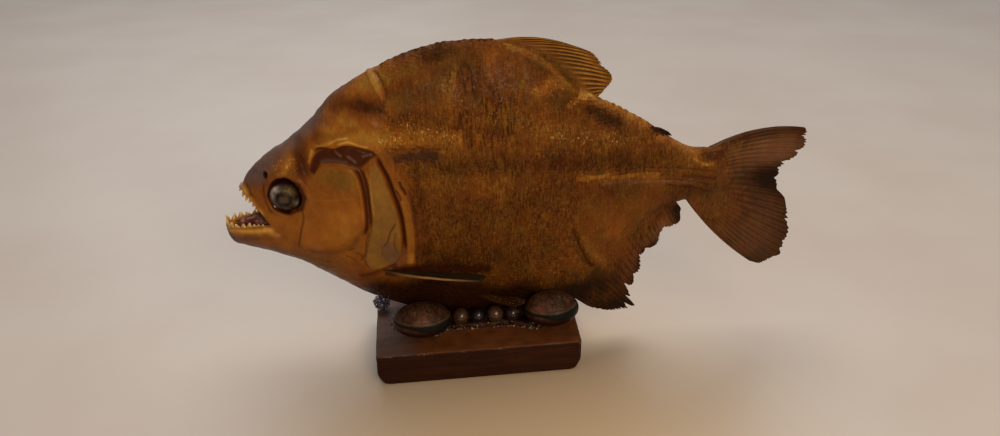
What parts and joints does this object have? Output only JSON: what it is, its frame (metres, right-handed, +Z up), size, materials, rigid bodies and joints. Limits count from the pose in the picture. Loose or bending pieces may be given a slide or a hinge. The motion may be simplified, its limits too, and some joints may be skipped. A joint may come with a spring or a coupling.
{
  "type": "mounted piranha",
  "caption": "Dried varnished piranha with open toothed jaws, glued upright on a wooden block among beans and seeds.",
  "frame": {"origin": "centre of the wooden block's underside, where the ornament stands on a table", "axes": "+Z up; the snout points to -X and the tail to +X; the fish's left flank faces -Y; the fish's mid-plane is Y = 0"},
  "size_m": [0.2076, 0.042, 0.1185],
  "materials": {
    "varnished_skin": "dried scaled skin under thick brown varnish",
    "cheek_skin": "bare skin over bone, amber, glossy varnish",
    "jaw_and_teeth": "yellowed bone and teeth under varnish",
    "dried_tongue": "dried, greyish pink",
    "dried_eye": "glassy, dark grey-brown",
    "dried_fin": "stiff dried rays and membrane, satin",
    "varnished_wood": "dark red-brown varnish, worn at the edges",
    "glue": "brown glue with specks of grit",
    "brown_bean": "polished hard bean with a dark band",
    "glossy_seed": "glossy, nearly black"
  },
  "bodies": {
    "root": {"adipose_fin": "dried_fin", "anal_fin": "dried_fin", "base_block": "varnished_wood", "bean_front_left": "brown_bean", "bean_front_right": "brown_bean", "bean_rear_left": "brown_bean", "bean_rear_right": "brown_bean", "dorsal_fin": "dried_fin", "eye_left": "dried_eye", "eye_right": "dried_eye", "gill_cover_left": "cheek_skin", "gill_cover_right": "cheek_skin", "head": "cheek_skin", "lower_jaw": "jaw_and_teeth", "pectoral_fin_left": "dried_fin", "pectoral_fin_right": "dried_fin", "pelvic_fin_left": "dried_fin", "pelvic_fin_right": "dried_fin", "resin_bed": "glue", "seed_front_1": "glossy_seed", "seed_front_2": "glossy_seed", "seed_front_3": "glossy_seed", "seed_front_4": "glossy_seed", "seed_front_5": "glossy_seed", "seed_heap_left": "glossy_seed", "seed_heap_right": "glossy_seed", "seed_rear_1": "glossy_seed", "seed_rear_2": "glossy_seed", "seed_rear_3": "glossy_seed", "seed_rear_4": "glossy_seed", "seed_rear_5": "glossy_seed", "tail_fin": "dried_fin", "tail_stalk": "varnished_skin", "tongue": "dried_tongue", "trunk": "varnished_skin", "upper_jaw": "jaw_and_teeth"}
  },
  "joints": []
}
